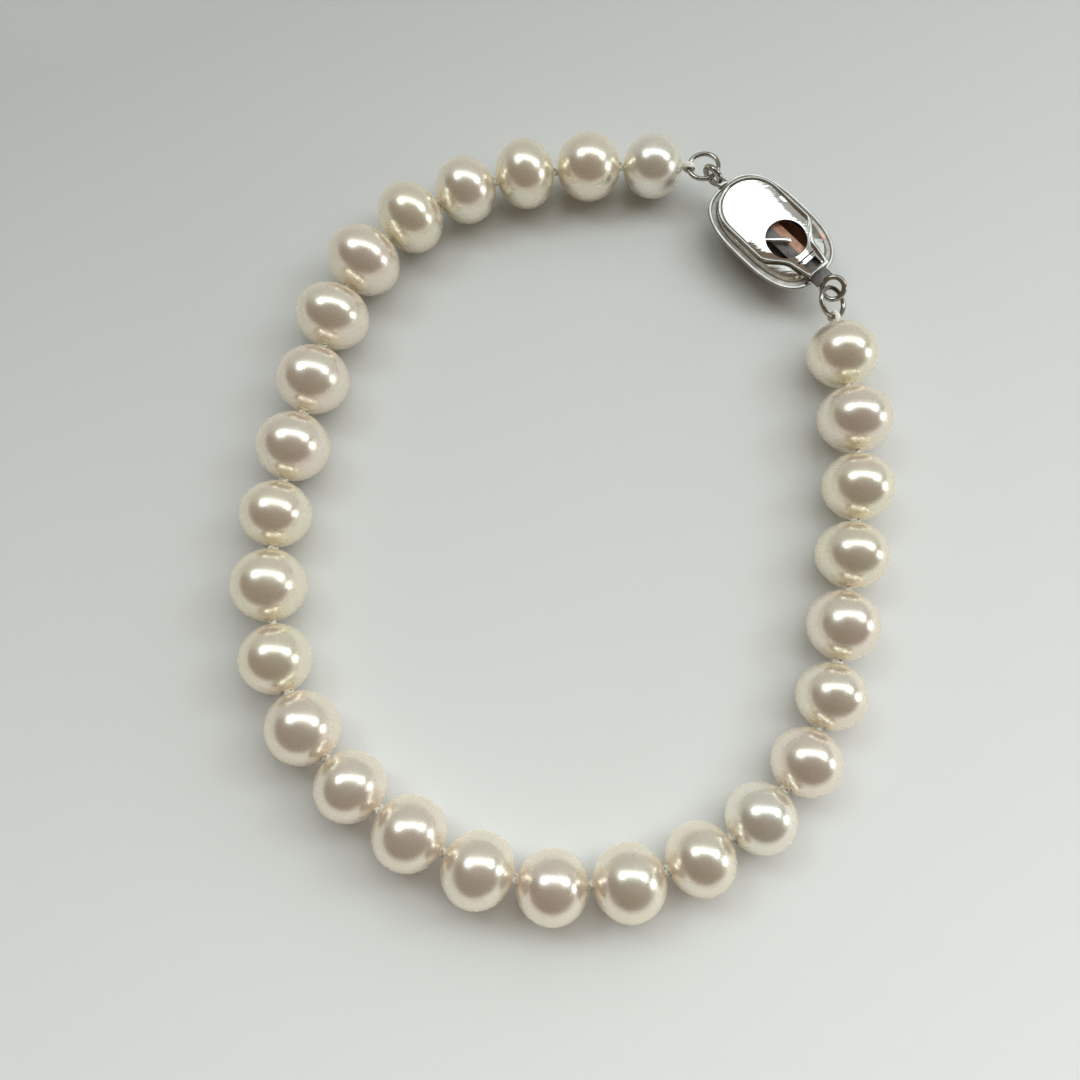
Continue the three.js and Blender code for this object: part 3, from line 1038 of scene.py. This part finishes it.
def make_tongue():
    """The spring leaf folded back under itself, its stem and its loop."""
    mouth_end = clasp_length / 2
    fold = mouth_end - leaf_reach
    loop_place = clasp_length / 2 + loop_standoff + tongue_loop_diameter / 2
    stem_end = loop_place - tongue_loop_diameter / 2 + tongue_loop_wire / 2
    low = joint_height - leaf_thickness / 2
    high = joint_height + leaf_thickness / 2
    catch_end = mouth_end - neck_length - catch_gap
    side = [
        (fold, high),
        (fold, low - leaf_thickness / 2),
        (catch_end, low - leaf_drop),
        (catch_end, high - leaf_drop),
        (fold + leaf_thickness, low),
        (stem_end, low),
        (stem_end, high),
    ]
    leaf = flat_outline("tongue_leaf", side, 0, "NGON")
    leaf.data.transform(
        Matrix.Translation((0, leaf_width / 2, 0)) @ Matrix.Rotation(math.radians(90), 4, "X")
    )
    edit(leaf)
    bpy.ops.mesh.select_mode(type="FACE")
    bpy.ops.mesh.select_all(action="SELECT")
    bpy.ops.mesh.extrude_region_move(TRANSFORM_OT_translate={"value": (0, -leaf_width, 0)})
    bpy.ops.mesh.select_all(action="SELECT")
    bpy.ops.mesh.normals_make_consistent(inside=False)
    leave_edit()
    shape_by(leaf, "BEVEL", width=edge_round, segments=2, limit_method="ANGLE")
    leaf.data.materials.append(leaf_silver)
    clear_selection()
    bpy.ops.mesh.primitive_torus_add(
        major_segments=loop_sections,
        minor_segments=loop_sides,
        major_radius=(tongue_loop_diameter - tongue_loop_wire) / 2,
        minor_radius=tongue_loop_wire / 2,
        location=(loop_place, 0, joint_height),
        rotation=(math.radians(tongue_loop_angle), 0, 0),
    )
    bpy.ops.object.transform_apply()
    ring = take("tongue_ring")
    # The tongue's ring takes the darker silver, painted shade
    ring.data.materials.append(painted_shade_silver)
    return join([leaf, ring], "clasp_tongue_leaf")


place_clasp = clasp_place()
# The leaf's dark grey is painted shade inside the box, and its brown a painted reflection
leaf_silver = inner_silver_material(
    "leaf_silver",
    grey=((0.10, 0.092, 0.085), (0.17, 0.155, 0.15)),
    brown=((0.36, 0.18, 0.12), (0.55, 0.31, 0.215)),
)
# The box's dull grey is painted shade in the groove, and its brown a painted reflection
box_silver = inner_silver_material(
    "box_silver",
    grey=((0.40, 0.37, 0.35), (0.60, 0.56, 0.53)),
    brown=((0.80, 0.42, 0.28), (0.98, 0.60, 0.44)),
)
case = make_case()
polished_pieces = [make_plate(), make_pointer()]
# The neck and the loop take the darker silver as painted shade, and the pointer the bright silver
for body_piece in [case, make_neck(), make_body_loop(), *polished_pieces]:
    body_piece.data.transform(place_clasp)
    smooth(body_piece)
    shape_by(body_piece, "WEIGHTED_NORMAL", keep_sharp=True)
    finish_piece(body_piece, plate_silver if body_piece in polished_pieces else painted_shade_silver, "silver")
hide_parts("clasp_body")
tongue = make_tongue()
tongue.data.transform(place_clasp)
smooth(tongue)
finish_piece(tongue, leaf_silver, "silver", "clasp_tongue")


# Table and light


def add_table():
    clear_selection()
    bpy.ops.mesh.primitive_circle_add(
        vertices=table_sides,
        radius=table_radius,
        fill_type="NGON",
        location=(0, 0, -table_drop),
    )
    bpy.ops.object.transform_apply()
    table = take("table")
    table.data.materials.append(table_material())


def add_lights():
    """A window over the far side, lamps at its ends and low on the right, and a wide fill on the right."""
    for row in lights:
        data = bpy.data.lights.new(row["name"], "AREA")
        data.shape = "RECTANGLE"
        data.size = row["length"] * light_distance
        data.size_y = row["width"] * light_distance
        data.energy = row["radiance"] * math.pi * data.size * data.size_y
        data.color = row["colour"]
        away = Vector(row["way"]).normalized()
        side = away.cross(Vector(row["along"])).normalized()
        turn = Matrix((side.cross(away), side, away)).transposed().to_4x4()
        light = bpy.data.objects.new(row["name"], data)
        light.matrix_world = Matrix.Translation(away * light_distance) @ turn
        light.visible_glossy = row["mirrored"]
        bpy.context.scene.collection.objects.link(light)


def add_world():
    """A dim room, lighter on the side of the window and bright near the level of the table."""
    world = bpy.data.worlds.new("room")
    world.use_nodes = True
    tree = world.node_tree
    way = add_node(tree, "ShaderNodeTexCoord")
    parts = add_node(tree, "ShaderNodeSeparateXYZ")
    tree.links.new(way.outputs["Generated"], parts.inputs["Vector"])
    forward = spread(tree, parts.outputs["Y"], 0, 1, *window_side)
    room = colour_ramp(tree, forward, ((0, (0.185, 0.138, 0.096)), (1, (0.38, 0.37, 0.335))))
    skirting = colour_ramp(tree, forward, ((0, (0.68, 0.67, 0.62)), (1, (0.42, 0.405, 0.365))))
    mix = add_node(tree, "ShaderNodeMix", data_type="RGBA")
    tree.links.new(spread(tree, parts.outputs["Z"], 0, 1, *skirting_edge), mix.inputs["Factor"])
    tree.links.new(skirting, mix.inputs["A"])
    tree.links.new(room, mix.inputs["B"])
    tree.links.new(mix.outputs["Result"], tree.nodes["Background"].inputs["Color"])
    bpy.context.scene.world = world


add_table()
add_lights()
add_world()
bpy.context.scene.view_settings.view_transform = "Standard"
